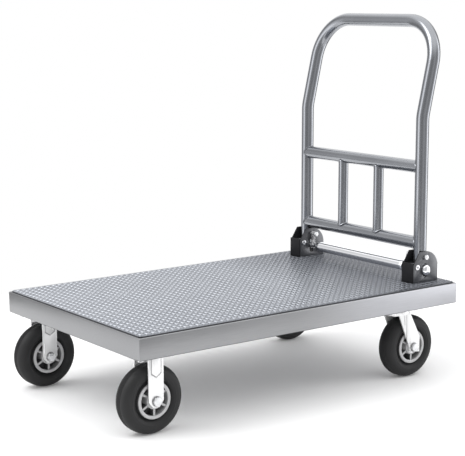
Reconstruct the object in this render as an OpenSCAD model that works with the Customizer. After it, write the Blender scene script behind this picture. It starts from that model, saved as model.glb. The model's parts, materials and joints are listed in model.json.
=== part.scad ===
// Flatbed platform truck: folded steel deck with a tread plate, a fold-down tube handle,
// a foot-pressed release bar, two rigid castors at the front and two swivel castors at the handle end.
// Millimetres. The floor is z = 0, the handle end is +X, left is -Y and right is +Y.

/* [Deck] */
// Length of the deck along X
deck_l = 970; // [960:1:1200]
// Width of the deck along Y
deck_w = 600; // [520:1:760]
// Height of the pan's top sheet above the floor
deck_h = 238; // [236:1:300]
// Height of the folded skirt
skirt_h = 52; // [44:1:64]
// Thickness of the pan's sheet
sheet_t = 2.5; // [1.5:0.1:4]
// Width of the skirt's inward return lip
lip_w = 14; // [8:1:18]
// Thickness of the tread plate
tread_t = 3; // [2:0.5:5]
// Distance from the pan's edge to the tread plate's edge
tread_inset = 4; // [2:0.5:8]
// Corner radius of the tread plate
tread_r = 12; // [4:1:30]

/* [Frame under the deck] */
// Width of each crossmember's flanges
member_w = 32; // [26:1:38]
// Thickness of the crossmembers and stiffeners
member_t = 3; // [2:0.5:4]
// Distance of the two lengthwise stiffeners from the middle
stiffener_y = 130; // [60:1:160]

/* [Wheels] */
// Wheel diameter over the tyre
wheel_d = 160; // [125:1:164]
// Width of the tyre
tyre_w = 49; // [40:1:51]
// Diameter of the rim under the tyre
rim_d = 86; // [76:1:96]
// Number of ribs in the rim
rim_ribs = 6; // [4:1:8]
// Diameter of the hub
hub_d = 40; // [38:1:46]
// Outside diameter of each wheel bearing
bearing_d = 32; // [28:1:34]
// Width of each wheel bearing
bearing_w = 10; // [8:1:12]
// Diameter of the axle sleeve that the bearings run on
sleeve_d = 16; // [15:1:18]
// Diameter of the axle bolts
axle_d = 12; // [10:1:13]

/* [Castors] */
// Distance from the deck's front edge to the rigid castors' axle
rigid_inset = 63; // [62:1:120]
// Distance from the deck's rear edge to the swivel castors' kingpin
swivel_inset = 157; // [150:1:220]
// Distance from the deck's side to each castor's middle
castor_inset = 62; // [60:1:90]
// Distance that a swivel wheel trails behind its kingpin
trail = 38; // [30:1:44]
// Length of each castor's top plate along X
plate_l = 100; // [98:1:110]
// Width of each castor's top plate along Y
plate_w = 85; // [80:1:88]
// Thickness of the top plates
plate_t = 4; // [3:0.5:5]
// Distance between the plate's bolt holes along X
hole_x = 80; // [80:1:86]
// Distance between the plate's bolt holes along Y
hole_y = 60; // [58:1:66]
// Diameter of the bolts that hold the castors
castor_bolt_d = 8; // [6:1:10]
// Gap between a fork's legs
fork_gap = 54; // [53:1:58]
// Thickness of the fork legs
fork_t = 4; // [3:0.5:5]
// Width of a rigid fork's legs
rigid_leg_w = 40; // [36:1:48]
// Diameter of the kingpins
kingpin_d = 12; // [10:1:14]

/* [Handle] */
// Outside diameter of the handle's main tube
tube_d = 33.7; // [30:0.1:34]
// Wall of the handle's tubes
tube_wall = 2; // [1.5:0.1:3]
// Distance between the middles of the handle's legs
leg_span = 453; // [400:1:460]
// Distance from the deck's rear edge to the handle's legs
leg_inset = 63; // [62:1:80]
// Height of the bend in the legs above the deck
bend_h = 425; // [360:1:480]
// Height of the grip bar's middle above the deck
grip_h = 664; // [600:1:700]
// Distance that the grip bar leans back over the legs
grip_back = 56; // [20:1:60]
// Bend radius of the handle's top corners
corner_r = 108; // [80:1:130]
// Bend radius where the legs start to lean
bend_r = 90; // [60:1:150]
// Diameter of the two cross rails
rail_d = 33; // [26:0.5:33]
// Height of the upper rail above the deck
rail_top_h = 296; // [240:1:340]
// Height of the lower rail above the deck
rail_low_h = 99; // [96:1:140]
// Diameter of the two uprights
upright_d = 26.9; // [20:0.1:28]
// Distance between the middles of the uprights
upright_span = 140; // [100:1:200]

/* [Hinge and lock] */
// Thickness of the brackets' cheeks
cheek_t = 3; // [2.5:0.5:5]
// Thickness of the brackets' base
base_t = 4; // [3:0.5:6]
// Side clearance of the handle's legs between the cheeks
cheek_gap = 0.65; // [0.4:0.05:1.5]
// Height of a bracket above the deck
bracket_h = 81; // [80:1:84]
// Height of the bracket's front web above the deck
web_h = 48; // [44:1:49]
// Height of the handle's pivot above the deck
pivot_h = 42; // [41:0.5:44]
// Distance of the pivot in front of the legs' middle
pivot_ahead = 28; // [27.5:0.5:29]
// Diameter of the hollow pivot rivets
pivot_d = 10; // [8:0.5:11]
// Diameter of the release bar's tube
bar_d = 28; // [20:1:28]
// Diameter of the rod through the release bar
rod_d = 12; // [10:0.5:12]
// Height of the rod above the deck when the bar is up
rod_h = 33; // [32.5:0.5:34]
// Distance that the bar is pressed down to free the handle
bar_travel = 14; // [12:0.5:14]
// Distance from each bracket to the end of the release bar's tube
bar_gap = 33; // [24:1:60]
// Height of the spring studs above the deck
stud_h = 66; // [64:1:68]

/* [Hidden] */
run_gap = 0.04;
slip_gap = 0.3;
seat_gap = 0.05;
weld_gap = 0.02;
eps = 1;

// Rounds a length to a hundredth, so that the pieces of a bent tube end in one plane.
function neat(v) = round(v * 100) / 100;

half_l = deck_l / 2;
half_w = deck_w / 2;
skirt_z = deck_h - skirt_h;
pan_under_z = deck_h - sheet_t;
member_h = pan_under_z - skirt_z;

rigid_x = -half_l + rigid_inset;
swivel_x = half_l - swivel_inset;
// Middle of the end crossmember, which lies just inside the pan's lip
end_member_x = lip_w + 0.5 + member_w / 2 - half_l;
castor_y = half_w - castor_inset;
wheel_r = wheel_d / 2;
rim_r = rim_d / 2;
hub_w = fork_gap - 4;
plate_z = skirt_z - plate_t;
fork_out = fork_gap / 2 + fork_t;
bolt_hole_d = castor_bolt_d + 1;
castor_bolt_head = 5.3;
castor_nut_h = 6.5;
member_y = half_w - sheet_t - 0.5;
axle_head_d = 19;
axle_head_h = 7;

race_r = 32;
race_z = plate_z - 4;
ball_r = 2.4;
ball_ring_r = 27;
ball_count = 18;
crown_z = race_z - 2 * ball_r - 0.2;
crown_t = 4;
crown_r = 37;
crown_lip = 3;

leg_x = half_l - leg_inset;
leg_y = leg_span / 2;
tube_r = tube_d / 2;
lean = atan(grip_back / (grip_h - bend_h));
bend_run = neat(bend_r * tan(lean / 2));
bend_start_h = bend_h - bend_run;
lean_straight = neat((grip_h - bend_h) / cos(lean)) - corner_r - bend_run;
rail_r = rail_d / 2;
upright_r = upright_d / 2;
upright_x = leg_x - rail_r + upright_r;

pivot_x = leg_x - pivot_ahead;
pivot_r = pivot_d / 2;
rod_r = rod_d / 2;
leg_end_h = rod_h - 0.5;
bracket_front = pivot_x - 13;
bracket_rear = leg_x + 45;
web_t = 2.5;
dome_r = (bracket_rear - bracket_front) / 2;
dome_x = (bracket_rear + bracket_front) / 2;
dome_h = bracket_h - dome_r;
cheek_in = tube_r + cheek_gap;
cheek_out = cheek_in + cheek_t;
lug_w = 24;
lug_r = 10;
slot_w = rod_d + 2 * slip_gap;
slot_low = rod_h - bar_travel;
slot_top = rod_h + 11;
bracket_bolt_d = 8;
bracket_bolt_x = [leg_x - 20, leg_x + 23];
bar_half = leg_y - cheek_out - bar_gap;
cap_r = 13.5;
cap_w = 9;
stud_r = 4;
stud_reach = 18;
stud_head = 5;
spring_wire = 0.9;
spring_r = 3.5;
spring_places = [3.9, 11.6];

SIDES = [-1, 1];

$fn = 48;

steel = [0.74, 0.75, 0.77];
tread_steel = [0.70, 0.72, 0.75];
handle_grey = [0.45, 0.47, 0.50];
zinc = [0.86, 0.87, 0.88];
chrome = [0.90, 0.91, 0.93];
rim_grey = [0.66, 0.67, 0.68];
black_rubber = [0.10, 0.10, 0.11];

// ---- shared shapes -------------------------------------------------------------------

// A bar of round section along Y, centred on y = 0.
module rod_y(r, w) {
    rotate([90, 0, 0])
        cylinder(r = r, h = w, center = true);
}

// A box given by its low corner and its high corner.
module box(low, high) {
    translate(low)
        cube(high - low);
}

// A hexagonal head or nut along Z, given across its flats.
module hex(flats, h) {
    cylinder(d = flats / cos(30), h = h, $fn = 6);
}

// Places its children on both brackets.
module at_legs() {
    for (side = SIDES)
        translate([0, side * leg_y, deck_h])
            children();
}

// Places its children at the four bolt holes of a castor's plate.
module at_plate_holes() {
    for (sx = SIDES, sy = SIDES)
        translate([sx * hole_x / 2, sy * hole_y / 2, 0])
            children();
}

// Places its children at all four castors.
module at_castors() {
    for (x = [rigid_x, swivel_x], side = SIDES)
        translate([x, side * castor_y, 0])
            children();
}

// ---- deck ----------------------------------------------------------------------------

module deck_pan() {
    color(steel)
    difference() {
        box([-half_l, -half_w, skirt_z], [half_l, half_w, deck_h]);
        box([-half_l + sheet_t, -half_w + sheet_t, skirt_z + sheet_t],
            [half_l - sheet_t, half_w - sheet_t, pan_under_z]);
        box([-half_l + lip_w, -half_w + lip_w, skirt_z - eps],
            [half_l - lip_w, half_w - lip_w, skirt_z + sheet_t + eps]);
        at_legs()
            for (x = bracket_bolt_x)
                translate([x, 0, -sheet_t - eps])
                    cylinder(d = bracket_bolt_d + 1, h = sheet_t + 2 * eps);
    }
}

module tread_outline() {
    x = half_l - tread_inset - tread_r;
    y = half_w - tread_inset - tread_r;
    square([2 * x, 2 * (y + tread_r)], center = true);
    square([2 * (x + tread_r), 2 * y], center = true);
    for (sx = SIDES, sy = SIDES)
        translate([sx * x, sy * y])
            circle(r = tread_r);
}

module tread_plate() {
    room = 0.6;
    color(tread_steel)
    translate([0, 0, deck_h])
        linear_extrude(tread_t)
            difference() {
                tread_outline();
                for (side = SIDES)
                    translate([bracket_front - 3 * room - 2, side * leg_y - cheek_out - room])
                        square([bracket_rear - bracket_front + 4 * room + 2, 2 * (cheek_out + room)]);
            }
}

// A channel section that is open towards +X, with its length along Y.
module channel(w, h, length, t) {
    rotate([90, 0, 0])
        linear_extrude(length, center = true)
            difference() {
                translate([-w / 2, 0])
                    square([w, h]);
                translate([-w / 2 + t, t])
                    square([w, h - 2 * t]);
            }
}

// One crossmember under the deck, open towards +X unless turned. The castors bolt to its
// lower flange.
module crossmember(x, turn = 0) {
    color(steel)
    difference() {
        translate([x, 0, skirt_z])
            rotate([0, 0, turn])
            channel(member_w, member_h, 2 * (half_w - lip_w - 0.5), member_t);
        at_castors()
            at_plate_holes()
                translate([0, 0, skirt_z - eps])
                    cylinder(d = bolt_hole_d, h = member_t + 2 * eps);
    }
}

module stiffener(side) {
    from = rigid_x + hole_x / 2 + member_w / 2 + 0.5;
    to = swivel_x - hole_x / 2 - member_w / 2 - 0.5;
    color(steel)
    translate([(from + to) / 2, side * stiffener_y, skirt_z + 6])
        rotate([0, 0, 90])
            channel(30, member_h - 6, to - from, member_t);
}

// ---- hinge brackets ------------------------------------------------------------------

// Side view of a bracket: a sloped shoulder over the front web and a round rear corner.
module bracket_side() {
    difference() {
        polygon([
            [bracket_front, 0], [bracket_front, web_h], [dome_x - dome_r / 2, bracket_h],
            [bracket_rear, bracket_h], [bracket_rear, 0]
        ]);
        difference() {
            translate([dome_x, dome_h])
                square(dome_r + eps);
            translate([dome_x, dome_h])
                circle(r = dome_r, $fn = 96);
        }
    }
}

// The slot in a cheek that the release rod moves in.
module rod_slot() {
    for (z = [slot_low, slot_top])
        translate([leg_x, 0, z])
            rod_y(slot_w / 2, 2 * cheek_out + 2 * eps);
    box([leg_x - slot_w / 2, -cheek_out - eps, slot_low],
        [leg_x + slot_w / 2, cheek_out + eps, slot_top]);
}

module bracket(side) {
    color(handle_grey)
    translate([0, side * leg_y, deck_h])
        difference() {
            rotate([90, 0, 0])
                linear_extrude(2 * cheek_out, center = true)
                    bracket_side();
            box([bracket_front + web_t, -cheek_in, base_t],
                [bracket_rear + eps, cheek_in, bracket_h + eps]);
            rod_slot();
            translate([pivot_x, 0, pivot_h])
                rod_y(pivot_r + seat_gap, 2 * cheek_out + 2 * eps);
            translate([leg_x, 0, stud_h])
                rod_y(stud_r - 1 + seat_gap, 2 * cheek_out + 2 * eps);
            for (x = bracket_bolt_x)
                translate([x, 0, -eps])
                    cylinder(d = bracket_bolt_d + 1, h = base_t + 2 * eps);
        }
}

// Rubber pads on the front webs: the folded handle's legs rest on them.
module leg_buffers() {
    pad_t = 2;
    rest_h = pivot_h + pivot_ahead - tube_r - 0.35;
    color(black_rubber)
    at_legs()
        difference() {
            box([bracket_front - pad_t, -cheek_out, 0],
                [bracket_front + web_t, cheek_out, rest_h]);
            box([bracket_front, -cheek_out - eps, -eps],
                [bracket_front + web_t + eps, cheek_out + eps, web_h + 4]);
        }
}

module bracket_bolts() {
    color(zinc)
    at_legs()
        for (x = bracket_bolt_x)
            translate([x, 0, 0]) {
                translate([0, 0, base_t])
                    hex(13, 5);
                translate([0, 0, -sheet_t - 8])
                    cylinder(d = bracket_bolt_d, h = base_t + sheet_t + 8);
                translate([0, 0, -sheet_t - 6.5])
                    difference() {
                        hex(13, 6.5);
                        translate([0, 0, -eps])
                            cylinder(d = bracket_bolt_d + 2 * seat_gap, h = 6.5 + 2 * eps);
                    }
            }
}

module pivot_rivets() {
    head_r = 7;
    head_t = 2.5;
    color(chrome)
    at_legs()
        translate([pivot_x, 0, pivot_h])
            difference() {
                union() {
                    rod_y(pivot_r, 2 * cheek_out + 2 * head_t);
                    for (side = SIDES)
                        translate([0, side * (cheek_out + head_t / 2), 0])
                            rod_y(head_r, head_t);
                }
                rod_y(pivot_r / 2, 2 * cheek_out + 2 * head_t + 2 * eps);
            }
}

// A stud from a cheek's outer face: shank in the cheek, plain part, then a hexagonal head.
module stud(reach) {
    rotate([-90, 0, 0]) {
        translate([0, 0, -cheek_t])
            cylinder(r = stud_r - 1, h = cheek_t + 0.5);
        cylinder(r = stud_r, h = reach);
        translate([0, 0, reach])
            hex(12, stud_head);
    }
}

module spring_studs() {
    color(zinc)
    for (side = SIDES)
        translate([leg_x, side * leg_y, deck_h + stud_h]) {
            translate([0, side * cheek_out, 0])
                mirror([0, (1 - side) / 2, 0])
                    stud(1.5);
            translate([0, -side * cheek_out, 0])
                mirror([0, (1 + side) / 2, 0])
                    stud(stud_reach);
        }
}

// One closed-wound spring, hooked over the stud above and the rod below.
module return_spring() {
    top_r = stud_r + slip_gap + spring_wire;
    low_r = rod_r + slip_gap + spring_wire;
    coil_low = rod_h + low_r;
    coil_top = stud_h - top_r;
    difference() {
        translate([0, 0, coil_low])
            cylinder(r = spring_r, h = coil_top - coil_low);
        translate([0, 0, coil_low - eps])
            cylinder(r = spring_r - 2 * spring_wire, h = coil_top - coil_low + 2 * eps);
    }
    for (hook = [[rod_h, low_r], [stud_h, top_r]])
        translate([0, 0, hook[0]])
            rotate([90, 0, 0])
                rotate_extrude()
                    translate([hook[1], 0])
                        circle(r = spring_wire, $fn = 16);
}

module return_springs() {
    color(zinc)
    for (side = SIDES, place = spring_places)
        translate([leg_x, side * (leg_y - cheek_out - place), deck_h])
            return_spring();
}

// ---- handle --------------------------------------------------------------------------

// One leg of the handle as a solid bar of radius r, up to the end of its bend.
module leg_run(r, drop) {
    low = leg_end_h - drop;
    translate([leg_x, 0, low])
        cylinder(r = r, h = bend_start_h - low);
    translate([leg_x + bend_r, 0, bend_start_h])
        rotate([90, 0, 180])
            rotate_extrude(angle = lean)
                translate([bend_r, 0])
                    circle(r = r);
}

// The notch in a leg's end that the release rod springs up into.
module leg_notch() {
    translate([leg_x, 0, rod_h])
        rod_y(slot_w / 2, 2 * (tube_r + eps));
    box([leg_x - slot_w / 2, -tube_r - eps, leg_end_h - 5],
        [leg_x + slot_w / 2, tube_r + eps, rod_h]);
}

module handle_leg(side) {
    color(handle_grey)
    translate([0, side * leg_y, deck_h])
        difference() {
            leg_run(tube_r, 0);
            leg_run(tube_r - tube_wall, eps);
            leg_notch();
        }
}

// The grip and its round corners as a solid bar of radius r, drawn upright.
module bow_run(r) {
    for (side = SIDES) {
        translate([0, side * leg_y, 0])
            cylinder(r = r, h = lean_straight);
        translate([0, side * (leg_y - corner_r), lean_straight])
            rotate([90, 0, 90 * side])
                rotate_extrude(angle = 90)
                    translate([corner_r, 0])
                        circle(r = r);
    }
    translate([0, 0, lean_straight + corner_r])
        rod_y(r, 2 * (leg_y - corner_r));
}

module handle_bow() {
    color(handle_grey)
    translate([leg_x, 0, deck_h + bend_h])
        rotate([0, lean, 0])
            translate([0, 0, bend_run + weld_gap])
                difference() {
                    bow_run(tube_r);
                    bow_run(tube_r - tube_wall);
                }
}

module rail(h) {
    color(handle_grey)
    translate([leg_x, 0, deck_h + h])
        difference() {
            rod_y(rail_r, leg_span);
            rod_y(rail_r - tube_wall, leg_span + 2 * eps);
            for (side = SIDES)
                translate([0, side * leg_y, -tube_d])
                    cylinder(r = tube_r + seat_gap, h = 2 * tube_d);
        }
}

module upright(side) {
    color(handle_grey)
    translate([0, side * upright_span / 2, deck_h])
        difference() {
            translate([upright_x, 0, rail_low_h])
                cylinder(r = upright_r, h = rail_top_h - rail_low_h);
            translate([upright_x, 0, rail_low_h - eps])
                cylinder(r = upright_r - tube_wall, h = rail_top_h - rail_low_h + 2 * eps);
            for (h = [rail_low_h, rail_top_h])
                translate([leg_x, 0, h])
                    rod_y(rail_r + seat_gap, 2 * tube_d);
        }
}

// The lug on the front of each leg that turns on the pivot rivet.
module lug(side) {
    color(handle_grey)
    translate([0, side * leg_y, deck_h])
        difference() {
            union() {
                translate([pivot_x, 0, pivot_h])
                    rod_y(lug_r, lug_w);
                box([pivot_x, -lug_w / 2, pivot_h - lug_r],
                    [leg_x - tube_r / 2, lug_w / 2, pivot_h + lug_r]);
            }
            translate([pivot_x, 0, pivot_h])
                rod_y(pivot_r + run_gap, lug_w + 2 * eps);
            translate([leg_x, 0, 0])
                cylinder(r = tube_r + seat_gap, h = bracket_h);
        }
}

// ---- release bar ---------------------------------------------------------------------

module release_bar() {
    color(chrome)
    translate([leg_x, 0, deck_h + rod_h])
        difference() {
            rod_y(bar_d / 2, 2 * bar_half);
            rod_y(bar_d / 2 - tube_wall, 2 * bar_half + 2 * eps);
        }
}

module release_rod() {
    color(chrome)
    translate([leg_x, 0, deck_h + rod_h])
        rod_y(rod_r, 2 * (leg_y + cheek_out + cap_w - 3));
}

// The plugs in the bar's ends and the round caps outside the brackets.
module release_bar_ends() {
    plug_w = 6;
    color(chrome)
    translate([leg_x, 0, deck_h + rod_h])
        for (side = SIDES) {
            translate([0, side * (bar_half - plug_w / 2), 0])
                difference() {
                    rod_y(bar_d / 2 - tube_wall - seat_gap, plug_w);
                    rod_y(rod_r + seat_gap, plug_w + 2 * eps);
                }
            translate([0, side * (leg_y + cheek_out + slip_gap), 0])
                rotate([-90 * side, 0, 0])
                    difference() {
                        union() {
                            cylinder(r = cap_r, h = cap_w - 3);
                            translate([0, 0, cap_w - 3])
                                cylinder(r1 = cap_r, r2 = cap_r - 4, h = 3);
                        }
                        translate([0, 0, -eps])
                            cylinder(r = rod_r + seat_gap, h = cap_w - 3 - slip_gap + eps);
                    }
        }
}

// ---- castors -------------------------------------------------------------------------

module castor_bolts() {
    color(zinc)
    at_castors()
        at_plate_holes() {
            translate([0, 0, plate_z - castor_bolt_head])
                hex(13, castor_bolt_head);
            translate([0, 0, plate_z])
                cylinder(d = castor_bolt_d, h = plate_t + member_t + castor_nut_h + 3);
        }
}

module castor_nuts() {
    color(zinc)
    at_castors()
        at_plate_holes()
            translate([0, 0, skirt_z + member_t])
                difference() {
                    hex(13, castor_nut_h);
                    translate([0, 0, -eps])
                        cylinder(d = castor_bolt_d + 2 * seat_gap, h = castor_nut_h + 2 * eps);
                }
}

module castor_plate() {
    difference() {
        box([-plate_l / 2, -plate_w / 2, plate_z], [plate_l / 2, plate_w / 2, skirt_z]);
        at_plate_holes()
            translate([0, 0, plate_z - eps])
                cylinder(d = bolt_hole_d, h = plate_t + 2 * eps);
    }
}

// Both legs of a fork, from a side view drawn in X and Z, with the axle hole at axle_x.
module fork_legs(axle_x) {
    difference() {
        for (side = SIDES)
            translate([0, side * (fork_gap + fork_t) / 2, 0])
                rotate([90, 0, 0])
                    linear_extrude(fork_t, center = true)
                        children();
        translate([axle_x, 0, wheel_r])
            rod_y(axle_d / 2 + seat_gap, 2 * fork_out + 2 * eps);
    }
}

module rigid_leg_side() {
    half = rigid_leg_w / 2;
    nose = 15;
    polygon([
        [-half, plate_z + 0.5 * plate_t], [half, plate_z + 0.5 * plate_t], [half, wheel_r + 1],
        [half - nose + 1, wheel_r - nose], [nose - 1 - half, wheel_r - nose], [-half, wheel_r + 1]
    ]);
}

module rigid_fork(side) {
    color(zinc)
    translate([rigid_x, side * castor_y, 0]) {
        castor_plate();
        fork_legs(0)
            rigid_leg_side();
    }
}

module swivel_plate(side) {
    color(zinc)
    translate([swivel_x, side * castor_y, 0])
        difference() {
            union() {
                castor_plate();
                translate([0, 0, race_z])
                    cylinder(r = race_r, h = plate_z - race_z);
            }
            translate([0, 0, race_z - eps])
                cylinder(r = kingpin_d / 2 + seat_gap, h = skirt_z - race_z + 2 * eps);
        }
}

module swivel_balls(side) {
    color(chrome)
    translate([swivel_x, side * castor_y, race_z - ball_r - 0.1])
        for (i = [0 : ball_count - 1])
            rotate([0, 0, i * 360 / ball_count])
                translate([ball_ring_r, 0, 0])
                    sphere(r = ball_r, $fn = 24);
}

module kingpin(side) {
    nut_h = 8;
    color(zinc)
    translate([swivel_x, side * castor_y, 0]) {
        translate([0, 0, skirt_z])
            cylinder(r = 11, h = 4);
        translate([0, 0, crown_z - crown_t - nut_h - 1])
            cylinder(r = kingpin_d / 2, h = skirt_z - crown_z + crown_t + nut_h + 1);
        translate([0, 0, crown_z - crown_t - nut_h - 0.1])
            difference() {
                hex(18, nut_h);
                translate([0, 0, -eps])
                    cylinder(r = kingpin_d / 2 + seat_gap, h = nut_h + 2 * eps);
            }
    }
}

// Side view of a swivel fork's leg: it slopes back from the crown to the trailing axle.
module swivel_leg_side() {
    polygon([
        [-14, crown_z - crown_t], [-14, crown_z - crown_t / 2],
        [25, crown_z - crown_t / 2], [25, crown_z - crown_t],
        [trail + 20, wheel_r + 27], [trail + 20, wheel_r - 14], [trail - 10, wheel_r - 11]
    ]);
}

module swivel_fork(side) {
    color(zinc)
    translate([swivel_x, side * castor_y, 0])
        difference() {
            union() {
                translate([0, 0, crown_z - crown_t])
                    cylinder(r = crown_r, h = crown_t, $fn = 96);
                translate([0, 0, crown_z - crown_t])
                    difference() {
                        cylinder(r = crown_r, h = crown_t + 7, $fn = 96);
                        translate([0, 0, crown_t / 2])
                            cylinder(r = crown_r - crown_lip, h = crown_t + 7, $fn = 96);
                    }
                box([-14, -fork_out, crown_z - crown_t], [25, fork_out, crown_z]);
                fork_legs(trail)
                    swivel_leg_side();
            }
            translate([0, 0, crown_z - crown_t - eps])
                cylinder(r = kingpin_d / 2 + run_gap, h = crown_t + 2 * eps);
        }
}

// Places its children at a wheel's middle: row is 0 at the front and 1 at the rear.
module at_wheel(row, side) {
    x = row == 0 ? rigid_x : swivel_x + trail;
    translate([x, side * castor_y, wheel_r])
        children();
}

module axle(row, side) {
    color(zinc)
    at_wheel(row, side)
        rotate([-90 * side, 0, 0]) {
            translate([0, 0, fork_out])
                hex(axle_head_d, axle_head_h);
            translate([0, 0, -fork_out - 11])
                cylinder(r = axle_d / 2, h = 2 * fork_out + 11);
            translate([0, 0, -fork_out - 8])
                difference() {
                    hex(axle_head_d, 8);
                    translate([0, 0, -eps])
                        cylinder(r = axle_d / 2 + seat_gap, h = 8 + 2 * eps);
                }
        }
}

module sleeve(row, side) {
    color(zinc)
    at_wheel(row, side)
        difference() {
            rod_y(sleeve_d / 2, fork_gap);
            rod_y(axle_d / 2 + seat_gap, fork_gap + 2 * eps);
        }
}

module bearings(row, side) {
    color(chrome)
    at_wheel(row, side)
        for (end = SIDES)
            translate([0, end * (hub_w - bearing_w) / 2, 0])
                difference() {
                    rod_y(bearing_d / 2, bearing_w);
                    rod_y(sleeve_d / 2 + run_gap, bearing_w + 2 * eps);
                }
}

module rim(row, side) {
    ring_w = tyre_w - 1;
    ring_t = 7.8;
    web = 6;
    rib_t = 6;
    color(rim_grey)
    at_wheel(row, side)
        difference() {
            union() {
                difference() {
                    rod_y(rim_r, ring_w);
                    rod_y(rim_r - ring_t, ring_w + 2 * eps);
                }
                rod_y(rim_r - ring_t / 2, web);
                rod_y(hub_d / 2, hub_w);
                for (i = [0 : rim_ribs - 1])
                    rotate([0, 90 + i * 360 / rim_ribs, 0])
                        box([hub_d / 2 - 2, -ring_w / 2 + 2.5, -rib_t / 2],
                            [rim_r - ring_t / 2, ring_w / 2 - 2.5, rib_t / 2]);
            }
            rod_y(sleeve_d / 2 + 2, hub_w + 2 * eps);
            for (end = SIDES)
                translate([0, end * hub_w / 2, 0])
                    rod_y(bearing_d / 2 + seat_gap, 2 * bearing_w);
        }
}

// The tyre's section: a balloon with round shoulders, and the bead that grips the rim.
module tyre_section() {
    height = wheel_r - rim_r;
    round_r = height / 2;
    flat = tyre_w / 2 - round_r;
    translate([rim_r + seat_gap, -flat])
        square([height - seat_gap, 2 * flat]);
    difference() {
        for (side = SIDES)
            translate([rim_r + round_r, side * flat])
                circle(r = round_r, $fn = 64);
        translate([0, -tyre_w])
            square([rim_r + seat_gap, 2 * tyre_w]);
    }
    translate([rim_r + seat_gap, -tyre_w / 2 + 3])
        square([12, tyre_w - 6]);
}

module tyre(row, side) {
    color(black_rubber)
    at_wheel(row, side)
        rotate([90, 0, 0])
            rotate_extrude($fn = 96)
                tyre_section();
}

// ---- what is drawn -------------------------------------------------------------------

deck_pan();
tread_plate();
crossmember(end_member_x, 180);  // crossmember_1
crossmember(rigid_x + hole_x / 2);  // crossmember_2
crossmember(swivel_x - hole_x / 2);  // crossmember_3
crossmember(swivel_x + hole_x / 2);  // crossmember_4
stiffener(-1);  // stiffener_left
stiffener(1);  // stiffener_right
bracket(-1);  // bracket_left
bracket(1);  // bracket_right
leg_buffers();
bracket_bolts();
pivot_rivets();
spring_studs();
return_springs();
handle_leg(-1);  // handle_leg_left
handle_leg(1);  // handle_leg_right
handle_bow();
rail(rail_top_h);  // rail_upper
rail(rail_low_h);  // rail_lower
upright(-1);  // upright_left
upright(1);  // upright_right
lug(-1);  // lug_left
lug(1);  // lug_right
release_bar();
release_rod();
release_bar_ends();
castor_bolts();
castor_nuts();
rigid_fork(-1);  // rigid_fork_left
rigid_fork(1);  // rigid_fork_right
swivel_plate(-1);  // swivel_plate_left
swivel_plate(1);  // swivel_plate_right
swivel_balls(-1);  // swivel_balls_left
swivel_balls(1);  // swivel_balls_right
kingpin(-1);  // kingpin_left
kingpin(1);  // kingpin_right
swivel_fork(-1);  // swivel_fork_left
swivel_fork(1);  // swivel_fork_right
axle(0, -1);  // axle_front_left
axle(0, 1);  // axle_front_right
axle(1, -1);  // axle_rear_left
axle(1, 1);  // axle_rear_right
sleeve(0, -1);  // sleeve_front_left
sleeve(0, 1);  // sleeve_front_right
sleeve(1, -1);  // sleeve_rear_left
sleeve(1, 1);  // sleeve_rear_right
rim(0, -1);  // rim_front_left
rim(0, 1);  // rim_front_right
rim(1, -1);  // rim_rear_left
rim(1, 1);  // rim_rear_right
bearings(0, -1);  // bearings_front_left
bearings(0, 1);  // bearings_front_right
bearings(1, -1);  // bearings_rear_left
bearings(1, 1);  // bearings_rear_right
tyre(0, -1);  // tyre_front_left
tyre(0, 1);  // tyre_front_right
tyre(1, -1);  // tyre_rear_left
tyre(1, 1);  // tyre_rear_right
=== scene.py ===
"""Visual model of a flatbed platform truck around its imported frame, in metres."""

import json
import logging
import math
from dataclasses import dataclass
from enum import Enum
from typing import Callable, Iterable, Sequence

import bmesh
import bpy
from mathutils import Matrix, Vector

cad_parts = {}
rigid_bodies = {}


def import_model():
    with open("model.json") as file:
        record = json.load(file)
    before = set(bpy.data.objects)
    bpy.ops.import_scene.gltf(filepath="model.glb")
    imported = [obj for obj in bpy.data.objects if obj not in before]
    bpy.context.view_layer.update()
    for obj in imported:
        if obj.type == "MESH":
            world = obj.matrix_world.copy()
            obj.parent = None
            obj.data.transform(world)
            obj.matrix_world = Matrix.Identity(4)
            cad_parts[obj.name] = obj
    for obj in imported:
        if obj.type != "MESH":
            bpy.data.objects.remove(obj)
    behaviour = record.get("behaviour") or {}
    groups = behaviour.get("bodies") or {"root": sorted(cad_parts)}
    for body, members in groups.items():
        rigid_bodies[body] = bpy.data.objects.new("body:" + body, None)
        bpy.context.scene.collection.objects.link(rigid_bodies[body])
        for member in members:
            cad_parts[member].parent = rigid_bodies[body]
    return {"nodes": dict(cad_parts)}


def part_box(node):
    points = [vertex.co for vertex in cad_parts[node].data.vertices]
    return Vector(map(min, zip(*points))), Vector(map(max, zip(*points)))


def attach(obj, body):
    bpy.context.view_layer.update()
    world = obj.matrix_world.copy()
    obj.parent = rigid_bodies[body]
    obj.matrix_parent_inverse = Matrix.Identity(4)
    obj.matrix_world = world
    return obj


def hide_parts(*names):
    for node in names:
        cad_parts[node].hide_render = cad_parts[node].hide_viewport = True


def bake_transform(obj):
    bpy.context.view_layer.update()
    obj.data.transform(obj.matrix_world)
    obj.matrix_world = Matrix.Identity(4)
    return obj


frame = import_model()

MM = 0.001
SHARP = math.radians(32)
SIDES = {"left": -1, "right": 1}
Point = tuple[float, float, float]
log = logging.getLogger("platform_truck")


# ---- finishes ------------------------------------------------------------------------


def add_node(
    tree: bpy.types.NodeTree, kind: str, inputs: dict[str | int, object] | None = None,
    **settings: object,
) -> bpy.types.Node:
    """Adds a node to a tree.

    Args:
        tree: The tree to add to.
        kind: The node's type.
        inputs: The values of inputs, by name or number.
        settings: The node's own settings.

    Returns:
        The new node.
    """
    node = tree.nodes.new(kind)
    for label, value in settings.items():
        setattr(node, label, value)
    for label, value in (inputs or {}).items():
        node.inputs[label].default_value = value
    return node


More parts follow.
